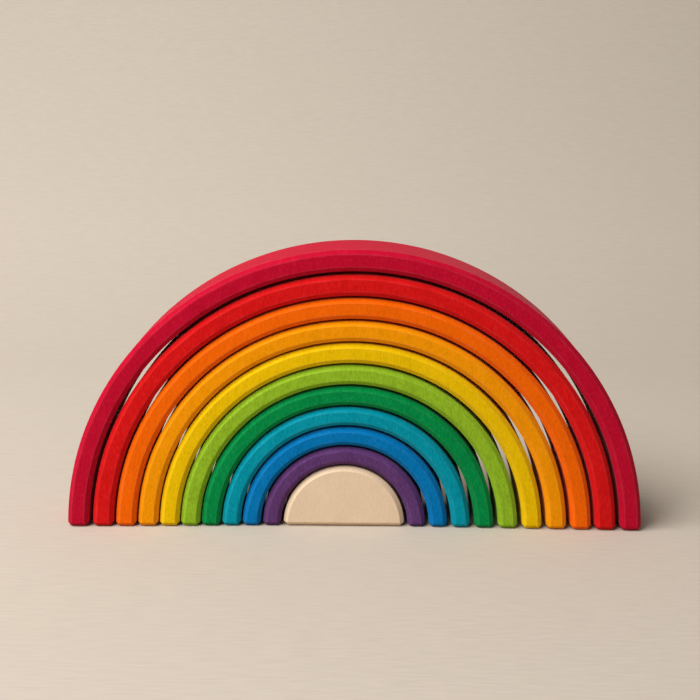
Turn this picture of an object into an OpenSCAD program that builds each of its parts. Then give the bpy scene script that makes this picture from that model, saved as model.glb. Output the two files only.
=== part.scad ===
// Rainbow stacker: ten nested wooden arches over a solid half-round, each standing on its own feet.
// Sizes are in millimetres. X runs across the arches, Y from the front to the back and Z upwards.
// The origin lies on the floor, in the middle of the largest arch and of the whole depth.

/* [Half-round] */
// Radius of the solid half-round in the middle
core_r = 40.2; // [25:0.1:70]
// Height of the half-round's axis above the floor
core_axis = 1.3; // [0:0.1:2.5]

/* [Arches] */
// Radial thickness of the smallest arch
inner_t = 11.9; // [8:0.1:20]
// Radial thickness of the largest arch
outer_t = 14; // [8:0.1:25]
// Saw gap between each piece and the arch around it, beside the feet
kerf = 2; // [1:0.1:6]
// Saw gap inside the largest arch, which is a little wider
outer_kerf = 2.7; // [1:0.1:8]
// Height by which each arch sits lower than the piece inside it, so that the gap narrows towards the top
sink = 0.55; // [0:0.05:0.6]

/* [Plank] */
// Depth of every piece from front to back
depth = 55; // [20:1:80]
// Width of the chamfer along every edge, measured on the faces beside it
chamfer = 2.8; // [0.5:0.1:3.5]

/* [Resting place] */
// Share of the free play by which the middle arches have slipped to the left
slip_share = 0.95; // [0:0.05:1]
// Least gap that is left between two pieces that have slipped together
rest_clear = 0.3; // [0.3:0.1:0.8]
// Distance that each arch stands further forward than the piece inside it
stagger = 0.5; // [0:0.05:1]

/* [Hidden] */
NODES = [
    "half_round",
    "purple_arch",
    "blue_arch",
    "teal_arch",
    "green_arch",
    "lime_arch",
    "yellow_arch",
    "amber_arch",
    "orange_arch",
    "red_arch",
    "crimson_arch"
];
// Pieces are numbered outwards: 0 is the half-round and arch_count the largest arch
arch_count = len(NODES) - 1;
// Smoothness of the arcs
arc_steps = 180;

// Radial thickness of arch i, which grows evenly from the smallest to the largest
function arch_t(i) = inner_t + (outer_t - inner_t) * (i - 1) / (arch_count - 1);
// Inner radius of arch i
function inner_r(i) = outer_r(i - 1) + (i == arch_count ? outer_kerf : kerf);
// Outer radius of piece i
function outer_r(i) = i == 0 ? core_r : inner_r(i) + arch_t(i);
// Height of the axis of piece i above the floor, which is negative on the larger arches
function axis_z(i) = core_axis - sink * i;
// Half the width at the floor of a circle of radius r on the axis of piece i
function floor_x(r, i) = sqrt(pow(r, 2) - pow(axis_z(i), 2));
// Sideways slip of piece i inside the arch around it, greatest half-way through the set
function slip(i) = -slip_share * (kerf - sink - rest_clear) * sin(180 * (i + 0.5) / arch_count);
// Sideways place of piece i, counted from the largest arch
function rest_x(i) = i == arch_count ? 0 : rest_x(i + 1) + slip(i);
// Place of piece i from front to back, with the whole set centred
function rest_y(i) = stagger * (arch_count / 2 - i);

// Cross-section of an arch: a bar with its four edges chamfered, its inner side at x = 0
module bar_section(t) {
    y = depth / 2;
    polygon([
        [chamfer, -y], [t - chamfer, -y],
        [t, chamfer - y], [t, y - chamfer],
        [t - chamfer, y], [chamfer, y],
        [0, y - chamfer], [0, chamfer - y]
    ]);
}

// Cross-section of the half-round, from its axis to its rim, with the rim's edges chamfered
module core_section() {
    y = depth / 2;
    polygon([
        [0, -y], [core_r - chamfer, -y],
        [core_r, chamfer - y], [core_r, y - chamfer],
        [core_r - chamfer, y], [0, y]
    ]);
}

// Turns a cross-section into a ring of outer radius r with its axis at height z, and saws it off at the floor
module sawn_ring(r, z) {
    difference() {
        translate([0, 0, z])
            rotate([90, 0, 0])
                rotate_extrude($fn = arc_steps)
                    children();
        translate([-r - chamfer, -depth, -2 * r])
            cube([2 * (r + chamfer), 2 * depth, 2 * r]);
    }
}

// Wedge along Y that takes the corner off a bottom edge at x = 0, with the wood at x > 0
module edge_wedge(run) {
    rotate([90, 0, 0])
        linear_extrude(height = run + 2 * chamfer, center = true)
            polygon([[-chamfer, -chamfer], [2 * chamfer, -chamfer], [-chamfer, 2 * chamfer]]);
}

// Four wedges that chamfer the bottom edges of a foot w wide, centred on the origin
module foot_wedges(w) {
    for (side = [0, 180]) {
        rotate(side)
            translate([-w / 2, 0, 0])
                edge_wedge(depth);
        rotate(side + 90)
            translate([-depth / 2, 0, 0])
                edge_wedge(w);
    }
}

// Arch number i where it rests
module arch(i) {
    foot_in = floor_x(inner_r(i), i);
    foot_out = floor_x(outer_r(i), i);
    translate([rest_x(i), rest_y(i), 0])
        difference() {
            sawn_ring(outer_r(i), axis_z(i))
                translate([inner_r(i), 0])
                    bar_section(arch_t(i));
            for (side = [-1, 1])
                translate([side * (foot_in + foot_out) / 2, 0, 0])
                    foot_wedges(foot_out - foot_in);
        }
}

module half_round() {
    color("#ddbd9d")
        translate([rest_x(0), rest_y(0), 0])
            difference() {
                sawn_ring(core_r, axis_z(0))
                    core_section();
                foot_wedges(2 * floor_x(core_r, 0));
            }
}

module purple_arch() {
    color("#5c3768")
        arch(1);
}

module blue_arch() {
    color("#046da4")
        arch(2);
}

module teal_arch() {
    color("#048896")
        arch(3);
}

module green_arch() {
    color("#05843f")
        arch(4);
}

module lime_arch() {
    color("#8eb42a")
        arch(5);
}

module yellow_arch() {
    color("#e6b803")
        arch(6);
}

module amber_arch() {
    color("#f19403")
        arch(7);
}

module orange_arch() {
    color("#f26408")
        arch(8);
}

module red_arch() {
    color("#d41818")
        arch(9);
}

module crimson_arch() {
    color("#bc0d29")
        arch(10);
}

half_round();
purple_arch();
blue_arch();
teal_arch();
green_arch();
lime_arch();
yellow_arch();
amber_arch();
orange_arch();
red_arch();
crimson_arch();
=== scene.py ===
"""Looks of the rainbow stacker: ten stained wooden arches nested over a bare half-round, on a pale sweep."""

import math

import bmesh
import bpy
from mathutils import Matrix, Vector


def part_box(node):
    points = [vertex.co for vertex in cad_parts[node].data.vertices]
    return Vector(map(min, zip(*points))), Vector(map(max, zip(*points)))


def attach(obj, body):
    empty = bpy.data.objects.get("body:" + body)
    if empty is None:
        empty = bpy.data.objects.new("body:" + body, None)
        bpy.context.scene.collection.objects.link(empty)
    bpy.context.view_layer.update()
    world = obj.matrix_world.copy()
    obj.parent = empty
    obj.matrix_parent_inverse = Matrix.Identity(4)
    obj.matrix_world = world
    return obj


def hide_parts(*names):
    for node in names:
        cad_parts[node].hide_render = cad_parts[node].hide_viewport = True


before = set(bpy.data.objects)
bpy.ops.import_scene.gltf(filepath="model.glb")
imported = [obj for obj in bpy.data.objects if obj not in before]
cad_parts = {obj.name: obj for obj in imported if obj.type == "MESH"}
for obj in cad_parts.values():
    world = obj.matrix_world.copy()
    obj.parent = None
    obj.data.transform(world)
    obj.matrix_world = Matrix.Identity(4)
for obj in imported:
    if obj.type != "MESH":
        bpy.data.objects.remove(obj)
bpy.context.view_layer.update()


# Half-round
# The solid half-disc that is left when the smallest arch is sawn out of the plank. Bare limewood, sanded
# smooth, with every edge planed to a flat chamfer. It stands loose on the floor under the arches.
CHAMFER = 0.0028
CORE_AXIS = 0.0013
EDGE_SOFTNESS = 0.0003
EDGE_ANGLE = math.radians(25)
EDGE_SEGMENTS = 3
HALF_ROUND_STEPS = 120
WELD = 0.00001
# Layers of the grain: how fine each is along X, Y and Z, its detail, and its share in the tone
GRAIN_LAYERS = (
    ("Lines", (700, 120, 140), 3, 0.25),
    ("Bands", (150, 20, 10), 2, 0.1),
    ("Clouds", (75, 75, 50), 4, 0.2),
    ("Flecks", (900, 900, 420), 2, 0.45),
)
# Where the deep, the plain and the pale tone lie in the grain
TONE_STOPS = (0.39, 0.5, 0.62)
# Paler tone along the edges, partly wear and partly a painted highlight on every edge: least and most, the
# span of the clouds that it follows, and how near an edge it stays
EDGE_WEAR_AND_HIGHLIGHT = (0.1, 0.6)
EDGE_WEAR_AND_HIGHLIGHT_CLOUDS = (0.35, 0.65)
EDGE_WEAR_AND_HIGHLIGHT_FALL = 6
# Wear of single fibres, and the span of the flecks that it follows
FIBRE_WEAR = (0.0, 0.1)
FIBRE_WEAR_FLECKS = (0.55, 0.75)
# Sanded surface: relief of the grain, roughness from least to most, shine, and bloom where it is seen edge-on
GRAIN_RELIEF = 0.0003
GRAIN_RELIEF_SHARE = 0.15
ROUGHNESS = (0.5, 0.7)
SHINE = 0.02
BLOOM = 0.12
BLOOM_SPREAD = 0.5


def linear(red, green, blue):
    """Turns a colour as a screen shows it, 0 to 255, into the linear colour that a shader takes."""
    shares = (red / 255, green / 255, blue / 255)
    return tuple(s / 12.92 if s < 0.04045 else ((s + 0.055) / 1.055) ** 2.4 for s in shares) + (1.0,)


def put(tree, kind, inputs=None, **settings):
    """Adds a node with these settings, and feeds its inputs with values or with other nodes' outputs."""
    node = tree.nodes.new(kind)
    for name, value in settings.items():
        setattr(node, name, value)
    for name, value in (inputs or {}).items():
        if isinstance(value, bpy.types.NodeSocket):
            tree.links.new(value, node.inputs[name])
        else:
            node.inputs[name].default_value = value
    return node


def calc(tree, operation, *values):
    """Adds a math node and returns its result."""
    return put(tree, "ShaderNodeMath", dict(enumerate(values)), operation=operation).outputs[0]


def spread(tree, value, given, wanted, **settings):
    """Adds a node that turns one span of values into another, and returns its result."""
    span = {"From Min": given[0], "From Max": given[1], "To Min": wanted[0], "To Max": wanted[1]}
    return put(tree, "ShaderNodeMapRange", {"Value": value, **span}, **settings).outputs[0]


def mix_tones(tree, share, first, second):
    """Adds a node that mixes two colours, and returns its result."""
    return put(tree, "ShaderNodeMix", {"Factor": share, 6: first, 7: second}, data_type="RGBA").outputs[2]


def plank_grain():
    """Grain of the plank that every piece is sawn from: upright lines, broad bands, clouds and flecks."""
    group = bpy.data.node_groups.new("plank grain", "ShaderNodeTree")
    place = put(group, "ShaderNodeTexCoord").outputs["Object"]
    results = group.nodes.new("NodeGroupOutput")
    for name, fineness, detail, _ in GRAIN_LAYERS:
        group.interface.new_socket(name, in_out="OUTPUT", socket_type="NodeSocketFloat")
        stretched = put(group, "ShaderNodeMapping", {"Vector": place, "Scale": fineness}).outputs[0]
        noise = put(group, "ShaderNodeTexNoise", {"Vector": stretched, "Scale": 1, "Detail": detail})
        group.links.new(noise.outputs[0], results.inputs[name])
    return group


PLANK_GRAIN = plank_grain()


def wood(name, deep, plain, pale, worn_and_highlit, bloom):
    """Matt sanded wood: a deep to pale tone that follows the grain, a paler tone along its edges that is
    partly wear and partly a painted highlight, paler single fibres where wear shows, and a faint pale bloom
    where it is seen edge-on."""
    material = bpy.data.materials.new(name)
    material.use_nodes = True
    tree = material.node_tree
    tree.nodes.clear()
    grain = put(tree, "ShaderNodeGroup", node_tree=PLANK_GRAIN).outputs
    depth = 0.0
    for layer, _, _, share in GRAIN_LAYERS:
        depth = calc(tree, "MULTIPLY_ADD", grain[layer], share, depth)
    tones = put(tree, "ShaderNodeValToRGB", {"Fac": depth})
    stops = tones.color_ramp.elements
    stops[0].position = TONE_STOPS[0]
    stops[0].color = deep
    stops[1].position = TONE_STOPS[2]
    stops[1].color = pale
    stops.new(TONE_STOPS[1]).color = plain
    # Paler tone along every edge, the same on all sides: partly wear of the stain and partly a painted
    # highlight
    rim = put(tree, "ShaderNodeAttribute", attribute_name="rim").outputs["Fac"]
    broken = spread(tree, grain["Clouds"], EDGE_WEAR_AND_HIGHLIGHT_CLOUDS, EDGE_WEAR_AND_HIGHLIGHT)
    edge_wear_and_highlight = calc(tree, "MULTIPLY", calc(tree, "POWER", rim, EDGE_WEAR_AND_HIGHLIGHT_FALL), broken)
    fibre_wear = spread(tree, grain["Flecks"], FIBRE_WEAR_FLECKS, FIBRE_WEAR)
    rubbed_and_highlit = calc(tree, "MAXIMUM", edge_wear_and_highlight, fibre_wear)
    relief = put(tree, "ShaderNodeBump", {
        "Height": depth, "Strength": GRAIN_RELIEF_SHARE, "Distance": GRAIN_RELIEF})
    shader = put(tree, "ShaderNodeBsdfPrincipled", {
        "Base Color": mix_tones(tree, rubbed_and_highlit, tones.outputs[0], worn_and_highlit),
        "Roughness": spread(tree, depth, (0.0, 1.0), ROUGHNESS),
        "Specular IOR Level": SHINE,
        "Sheen Weight": BLOOM,
        "Sheen Roughness": BLOOM_SPREAD,
        "Sheen Tint": bloom,
        "Normal": relief.outputs[0],
    })
    put(tree, "ShaderNodeOutputMaterial", {"Surface": shader.outputs[0]})
    return material


def soften(piece):
    """Takes the keenness off a piece's edges, and swaps its modifiers for the plain mesh that they make."""
    bevel = piece.modifiers.new("sanded edges", "BEVEL")
    bevel.width = EDGE_SOFTNESS
    bevel.segments = EDGE_SEGMENTS
    bevel.limit_method = "ANGLE"
    bevel.angle_limit = EDGE_ANGLE
    shade = piece.modifiers.new("flat faces", "WEIGHTED_NORMAL")
    shade.keep_sharp = True
    shaped = piece.evaluated_get(bpy.context.evaluated_depsgraph_get())
    mesh = bpy.data.meshes.new_from_object(shaped)
    piece.modifiers.clear()
    piece.data = mesh


def half_disc_outline(radius, inset):
    """Outline of the half-round from the front, drawn in on all sides, with its two bottom corners cut."""
    rim = radius - inset
    low = math.asin((CHAMFER - CORE_AXIS) / rim)
    turn = (math.pi - 2 * low) / HALF_ROUND_STEPS
    arc = [low + turn * i for i in range(HALF_ROUND_STEPS + 1)]
    outline = [(rim * math.cos(a), rim * math.sin(a) + CORE_AXIS) for a in arc]
    foot = rim * math.cos(low) if inset else radius - CHAMFER
    return [(foot, inset)] + outline + [(-foot, inset)]


low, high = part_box("half_round")
middle = (low + high) / 2
half_depth = (high.y - low.y) / 2
# Four outlines from the front to the back: the front face, the two ends of the rim, and the back face
outlines = (
    (CHAMFER, -half_depth),
    (0, CHAMFER - half_depth),
    (0, half_depth - CHAMFER),
    (CHAMFER, half_depth),
)
verts = []
for inset, y in outlines:
    verts += [(middle.x + x, middle.y + y, z) for x, z in half_disc_outline(high.z - CORE_AXIS, inset)]
count = len(verts) // len(outlines)
faces = [list(range(count))[::-1], list(range(len(verts) - count, len(verts)))]
for ring in range(len(outlines) - 1):
    for i in range(count):
        j = (i + 1) % count
        faces.append([ring * count + i, ring * count + j, (ring + 1) * count + j, (ring + 1) * count + i])
mesh = bpy.data.meshes.new("bare_half_round")
mesh.from_pydata(verts, [], faces)
# At each bottom corner two chamfers run out into one point of the front or the back face
solid = bmesh.new()
solid.from_mesh(mesh)
bmesh.ops.remove_doubles(solid, verts=solid.verts, dist=WELD)
bmesh.ops.recalc_face_normals(solid, faces=solid.faces)
solid.to_mesh(mesh)
solid.free()
half_round = bpy.data.objects.new("bare_half_round", mesh)
bpy.context.scene.collection.objects.link(half_round)
mesh.materials.append(wood(
    "bare limewood",
    deep=linear(225, 198, 166),
    plain=linear(229, 202, 171),
    pale=linear(232, 206, 176),
    # Paler tone of wear, which along the edges is also a painted highlight
    worn_and_highlit=linear(235, 211, 183),
    bloom=linear(246, 230, 208),
))
soften(half_round)
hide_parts("half_round")
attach(half_round, "half_round")


# Arches
# Ten half-rings sawn one outside the other from the same plank of limewood, with a saw gap between them. Each
# is chamfered all round, its feet too, and dyed with a thin water stain that lets the grain show.
SINK = 0.00055
RING_SPACING = 0.002
FOOT_RINGS = 2
SIDE_CUTS = 3
# Unevenness of hand sanding: its depth, its waves to the metre, and the height over the floor that it needs
WAVER = 0.0001
WAVER_FINENESS = 28
WAVER_RISE = 0.015
WAVER_SEED_STEP = 3.7
# How much deeper and paler the grain makes a stain, and the white that shows in its pale fibres
GRAIN_DEEPER = 0.1
GRAIN_PALER = 0.07
GRAIN_WHITE = 0.0015
# What is left of a stain on wood that wear lays bare and on edges that also carry a painted highlight, and in
# the bloom seen edge-on, and the white in each
RUBBED_AND_HIGHLIT = (0.9, 0.06)
BLOOMED = (0.7, 0.3)
# Each stain's colour, and how strongly the grain shows through it
STAINS = {
    "purple": ((92, 55, 107), 2.2),
    "blue": ((0, 114, 177), 1.6),
    "teal": ((0, 143, 162), 1.8),
    "green": ((0, 132, 65), 2.0),
    "lime": ((139, 177, 36), 1.8),
    "yellow": ((228, 184, 0), 1.2),
    "amber": ((236, 145, 0), 1.0),
    "orange": ((236, 99, 0), 1.2),
    "red": ((207, 19, 20), 1.2),
    "crimson": ((183, 9, 43), 1.4),
}
ARCH_SIZES = ("Inner radius", "Thickness", "Depth", "Chamfer", "Rest X", "Rest Y", "Axis Z", "Waver", "Seed")


def sawn_arch_tree():
    """Geometry nodes that bend a straight chamfered bar into a half-ring standing on two chamfered feet."""
    tree = bpy.data.node_groups.new("sawn arch", "GeometryNodeTree")
    sockets = tree.interface
    sockets.new_socket("Geometry", in_out="OUTPUT", socket_type="NodeSocketGeometry")
    for name in ARCH_SIZES:
        sockets.new_socket(name, in_out="INPUT", socket_type="NodeSocketFloat")
    sockets.new_socket("Rings", in_out="INPUT", socket_type="NodeSocketInt")
    sockets.new_socket("Stain", in_out="INPUT", socket_type="NodeSocketMaterial")
    given = tree.nodes.new("NodeGroupInput").outputs

    # Straight bar: a rectangle with its corners cut, swept along a line one unit long
    section = put(tree, "GeometryNodeCurvePrimitiveQuadrilateral", {
        "Width": given["Thickness"], "Height": given["Depth"]})
    cut = put(tree, "GeometryNodeFilletCurve", {
        "Curve": section.outputs[0], "Count": 1, "Radius": given["Chamfer"]}, mode="POLY")
    fine = put(tree, "GeometryNodeSubdivideCurve", {"Curve": cut.outputs[0], "Cuts": SIDE_CUTS})
    index = tree.nodes.new("GeometryNodeInputIndex").outputs[0]
    corner = put(tree, "FunctionNodeCompare", {
        "A": calc(tree, "MODULO", index, SIDE_CUTS + 1), "B": 0.5}, data_type="FLOAT", operation="LESS_THAN")
    marked = put(tree, "GeometryNodeStoreNamedAttribute", {
        "Geometry": fine.outputs[0], "Name": "rim", "Value": corner.outputs[0]}, data_type="FLOAT")
    line = put(tree, "GeometryNodeCurvePrimitiveLine", {"Start": (0, 0, 0), "End": (0, 0, 1)})
    rings = put(tree, "GeometryNodeResampleCurve", {"Curve": line.outputs[0], "Count": given["Rings"]})
    bar = put(tree, "GeometryNodeCurveToMesh", {
        "Curve": rings.outputs[0], "Profile Curve": marked.outputs[0], "Fill Caps": True})

    # Rings are counted from the nearer foot; the first few make the chamfer under it
    place = tree.nodes.new("GeometryNodeInputPosition").outputs[0]
    across, along, share = put(tree, "ShaderNodeSeparateXYZ", {0: place}).outputs
    last = calc(tree, "SUBTRACT", given["Rings"], 1)
    ring = calc(tree, "ROUND", calc(tree, "MULTIPLY", share, last))
    from_foot = calc(tree, "MINIMUM", ring, calc(tree, "SUBTRACT", last, ring))
    middle_ring = calc(tree, "DIVIDE", last, 2)
    rise = calc(tree, "MINIMUM", calc(tree, "DIVIDE", from_foot, FOOT_RINGS), 1)
    drawn_in = calc(tree, "MULTIPLY", given["Chamfer"], calc(tree, "SUBTRACT", 1, rise))

    def hold(value, width):
        """Holds a place in the section inside the width that the foot's chamfer leaves."""
        limit = calc(tree, "SUBTRACT", calc(tree, "DIVIDE", width, 2), drawn_in)
        return calc(tree, "MAXIMUM", calc(tree, "MINIMUM", value, limit), calc(tree, "MULTIPLY", limit, -1))

    def turn_at(height):
        """Angle round the arch's axis at which its arc is this high over the floor."""
        over_axis = calc(tree, "SUBTRACT", height, given["Axis Z"])
        return calc(tree, "ARCSINE", calc(tree, "DIVIDE", over_axis, radius))

    half_thickness = calc(tree, "DIVIDE", given["Thickness"], 2)
    mid_radius = calc(tree, "ADD", given["Inner radius"], half_thickness)
    radius = calc(tree, "ADD", mid_radius, hold(across, given["Thickness"]))
    foot_top = turn_at(given["Chamfer"])
    foot_turn = turn_at(calc(tree, "MULTIPLY", given["Chamfer"], rise))
    whole_turn = calc(tree, "SUBTRACT", math.pi / 2, foot_top)
    arc_turn = spread(tree, from_foot, (FOOT_RINGS, middle_ring), (0, whole_turn))
    turn = calc(tree, "ADD", foot_turn, arc_turn)
    side = calc(tree, "SIGN", calc(tree, "SUBTRACT", middle_ring, ring))
    x = calc(tree, "MULTIPLY", calc(tree, "MULTIPLY", radius, calc(tree, "COSINE", turn)), side)
    bent = put(tree, "ShaderNodeCombineXYZ", {
        "X": calc(tree, "ADD", x, given["Rest X"]),
        "Y": calc(tree, "ADD", hold(along, given["Depth"]), given["Rest Y"]),
        "Z": calc(tree, "MULTIPLY_ADD", radius, calc(tree, "SINE", turn), given["Axis Z"])})
    arch = put(tree, "GeometryNodeSetPosition", {"Geometry": bar.outputs[0], "Position": bent.outputs[0]})
    welded = put(tree, "GeometryNodeMergeByDistance", {"Geometry": arch.outputs[0], "Distance": WELD})

    # Sanding by hand leaves the sides a little uneven, always inside the sawn size, and the feet flat
    wander = put(tree, "ShaderNodeTexNoise", {
        "Vector": place, "W": given["Seed"], "Scale": WAVER_FINENESS, "Detail": 1}, noise_dimensions="4D")
    height = put(tree, "ShaderNodeSeparateXYZ", {0: place}).outputs[2]
    fade = calc(tree, "MINIMUM", calc(tree, "DIVIDE", height, WAVER_RISE), 1)
    sanded = calc(tree, "MULTIPLY", calc(tree, "SUBTRACT", wander.outputs[0], 1), given["Waver"])
    normal = tree.nodes.new("GeometryNodeInputNormal").outputs[0]
    shift = put(tree, "ShaderNodeVectorMath", {
        0: normal, "Scale": calc(tree, "MULTIPLY", sanded, fade)}, operation="SCALE")
    uneven = put(tree, "GeometryNodeSetPosition", {"Geometry": welded.outputs[0], "Offset": shift.outputs[0]})
    whole = put(tree, "GeometryNodeRealizeInstances", {"Geometry": uneven.outputs[0]})
    stained = put(tree, "GeometryNodeSetMaterial", {"Geometry": whole.outputs[0], "Material": given["Stain"]})
    put(tree, "NodeGroupOutput", {"Geometry": stained.outputs[0]})
    return tree


def thinned(colour, strength, white):
    """A stain's colour made stronger or weaker, with some white added."""
    return tuple(c * strength + white for c in colour[:3]) + (1.0,)


def stained_wood(name, colour, grain):
    """Wood dyed with a thin stain: darker where the grain drinks it, paler along edges where it is partly
    scuffed off and partly painted with a highlight.
    """
    plain = linear(*colour)
    return wood(
        name + " stain",
        deep=thinned(plain, 1 - GRAIN_DEEPER * grain, 0.0),
        plain=plain,
        pale=thinned(plain, 1 + GRAIN_PALER * grain, GRAIN_WHITE * grain),
        # Paler tone of wear, which along the edges is also a painted highlight
        worn_and_highlit=thinned(plain, *RUBBED_AND_HIGHLIT),
        bloom=thinned(plain, *BLOOMED),
    )


ARCH_TREE = sawn_arch_tree()
ARCH_SOCKETS = ARCH_TREE.interface.items_tree
ARCH_INPUTS = {socket.name: socket.identifier for socket in ARCH_SOCKETS if socket.in_out == "INPUT"}
for number, (colour_name, (colour, grain)) in enumerate(STAINS.items()):
    node = colour_name + "_arch"
    low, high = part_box(node)
    middle = (low + high) / 2
    axis_z = CORE_AXIS - SINK * (number + 1)
    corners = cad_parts[node].data.vertices
    inner_radius = min(math.hypot(v.co.x - middle.x, v.co.z - axis_z) for v in corners)
    outer_radius = high.z - axis_z
    arch = bpy.data.objects.new("stained_" + node, bpy.data.meshes.new("stained_" + node))
    bpy.context.scene.collection.objects.link(arch)
    bend = arch.modifiers.new("sawn arch", "NODES")
    bend.node_group = ARCH_TREE
    for name, value in {
        "Inner radius": inner_radius,
        "Thickness": outer_radius - inner_radius,
        "Depth": high.y - low.y,
        "Chamfer": CHAMFER,
        "Rest X": middle.x,
        "Rest Y": middle.y,
        "Axis Z": axis_z,
        "Waver": WAVER,
        "Seed": WAVER_SEED_STEP * number,
        "Rings": 2 * round(math.pi * outer_radius / RING_SPACING / 2) + 1,
        "Stain": stained_wood(colour_name, colour, grain),
    }.items():
        bend[ARCH_INPUTS[name]] = value
    soften(arch)
    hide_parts(node)
    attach(arch, node)


# Floor
# One wide sheet of warm pale paper that lies flat under the toy and curves up behind it without a corner. To
# the camera it fades into the pale room in front and at the sides, and its back can be seen through.
SHEET_HALF_WIDTH = 3.0
SHEET_FRONT = -2.5
SHEET_BEND = 0.45
SHEET_BEND_RADIUS = 1.2
SHEET_BEND_STEPS = 32
SHEET_TOP = 2.6
PAPER_DARK = linear(182, 171, 157)
PAPER_PALE = linear(198, 186, 171)
PAPER_FIBRES = (60, 500, 500)
PAPER_ROUGHNESS = 0.9
PAPER_SHINE = 0.1
# How much paler the paper is where it curves up, so that it looks as bright there as under the toy
PAPER_LIFT = 1.23
# Tone of the room, and the stretches of floor over which the paper fades into it
ROOM_TONE = linear(214, 201, 184)
FRONT_FADE = (-0.4, -1.4)
SIDE_FADE = (0.8, 1.8)
profile = [(SHEET_FRONT, 0.0)]
for i in range(SHEET_BEND_STEPS + 1):
    turn = math.pi / 2 * i / SHEET_BEND_STEPS
    reach = SHEET_BEND + SHEET_BEND_RADIUS * math.sin(turn)
    profile.append((reach, SHEET_BEND_RADIUS * (1 - math.cos(turn))))
profile.append((SHEET_BEND + SHEET_BEND_RADIUS, SHEET_TOP))
verts = [(x, y, z) for y, z in profile for x in (-SHEET_HALF_WIDTH, SHEET_HALF_WIDTH)]
faces = [(2 * i, 2 * i + 1, 2 * i + 3, 2 * i + 2) for i in range(len(profile) - 1)]
mesh = bpy.data.meshes.new("paper_sheet")
mesh.from_pydata(verts, [], faces)
mesh.shade_smooth()
sheet = bpy.data.objects.new("paper_sheet", mesh)
bpy.context.scene.collection.objects.link(sheet)
paper = bpy.data.materials.new("pale paper")
paper.use_nodes = True
paper_tree = paper.node_tree
paper_tree.nodes.clear()
paper_place = put(paper_tree, "ShaderNodeTexCoord").outputs["Object"]
paper_across, paper_reach, _ = put(paper_tree, "ShaderNodeSeparateXYZ", {0: paper_place}).outputs
paper_fibre = put(paper_tree, "ShaderNodeMapping", {"Vector": paper_place, "Scale": PAPER_FIBRES}).outputs[0]
paper_cloud = put(paper_tree, "ShaderNodeTexNoise", {"Vector": paper_fibre, "Scale": 1, "Detail": 2})
paper_lift = spread(paper_tree, paper_reach, (0.0, 2 * SHEET_BEND), (1.0, PAPER_LIFT))
paper_tone = put(paper_tree, "ShaderNodeVectorMath", {
    0: mix_tones(paper_tree, paper_cloud.outputs[0], PAPER_DARK, PAPER_PALE),
    "Scale": paper_lift}, operation="SCALE")
lit_paper = put(paper_tree, "ShaderNodeBsdfPrincipled", {
    "Base Color": paper_tone.outputs[0],
    "Roughness": PAPER_ROUGHNESS,
    "Specular IOR Level": PAPER_SHINE})
front_fade = spread(paper_tree, paper_reach, FRONT_FADE, (0.0, 1.0), interpolation_type="SMOOTHSTEP")
side_reach = calc(paper_tree, "ABSOLUTE", paper_across)
side_fade = spread(paper_tree, side_reach, SIDE_FADE, (0.0, 1.0), interpolation_type="SMOOTHSTEP")
to_camera = put(paper_tree, "ShaderNodeLightPath").outputs["Is Camera Ray"]
faded = put(paper_tree, "ShaderNodeMixShader", {
    0: calc(paper_tree, "MULTIPLY", calc(paper_tree, "MAXIMUM", front_fade, side_fade), to_camera),
    1: lit_paper.outputs[0],
    2: put(paper_tree, "ShaderNodeEmission", {"Color": ROOM_TONE, "Strength": 1.0}).outputs[0]})
from_behind = put(paper_tree, "ShaderNodeNewGeometry").outputs["Backfacing"]
one_sided = put(paper_tree, "ShaderNodeMixShader", {
    0: calc(paper_tree, "MULTIPLY", from_behind, to_camera),
    1: faded.outputs[0],
    2: put(paper_tree, "ShaderNodeBsdfTransparent").outputs[0]})
put(paper_tree, "ShaderNodeOutputMaterial", {"Surface": one_sided.outputs[0]})
mesh.materials.append(paper)


# Light
# One big soft lamp to the upper left in front of the toy, with a dim white light from all round. Beyond the
# sheet the camera sees the room in a pale paper tone.
LAMP_PLACE = Vector((-1.05, -0.75, 1.61))
LAMP_AIM = Vector((0.0, 0.0, 0.08))
LAMP_SIZE = 1.4
LAMP_POWER = 61.5
ROOM_LIGHT = 0.22
ROOM_WHITE = (1.0, 1.0, 1.0, 1.0)
lamp = bpy.data.lights.new("soft_lamp", "AREA")
lamp.size = LAMP_SIZE
lamp.energy = LAMP_POWER
lamp_holder = bpy.data.objects.new("soft_lamp", lamp)
lamp_holder.location = LAMP_PLACE
lamp_holder.rotation_euler = (LAMP_AIM - LAMP_PLACE).to_track_quat("-Z", "Y").to_euler()
bpy.context.scene.collection.objects.link(lamp_holder)
room = bpy.data.worlds.new("pale room")
room.use_nodes = True
room_tree = room.node_tree
room_seen = put(room_tree, "ShaderNodeLightPath").outputs["Is Camera Ray"]
room_shader = room_tree.nodes["Background"]
room_colour = mix_tones(room_tree, room_seen, ROOM_WHITE, ROOM_TONE)
room_strength = spread(room_tree, room_seen, (0.0, 1.0), (ROOM_LIGHT, 1.0))
room_tree.links.new(room_colour, room_shader.inputs["Color"])
room_tree.links.new(room_strength, room_shader.inputs["Strength"])
bpy.context.scene.world = room


# Camera
# It stands straight in front of the toy, higher than its top, and looks down on it through a lens that is a
# little longer than a normal one. It leans by less than half a degree.
CAMERA_PLACE = (-0.00200, -0.78357, 0.28700)
LOOK_DOWN = math.radians(12.370)
TURN_RIGHT = math.radians(-0.128)
LEAN = math.radians(0.422)
LENS = 61.92
lens = bpy.data.cameras.new("camera")
lens.lens = LENS
camera = bpy.data.objects.new("camera", lens)
camera.matrix_world = (
    Matrix.Translation(CAMERA_PLACE)
    @ Matrix.Rotation(-TURN_RIGHT, 4, "Z")
    @ Matrix.Rotation(math.pi / 2 - LOOK_DOWN, 4, "X")
    @ Matrix.Rotation(LEAN, 4, "Z")
)
bpy.context.scene.collection.objects.link(camera)
bpy.context.scene.camera = camera
bpy.context.scene.view_settings.view_transform = "Standard"
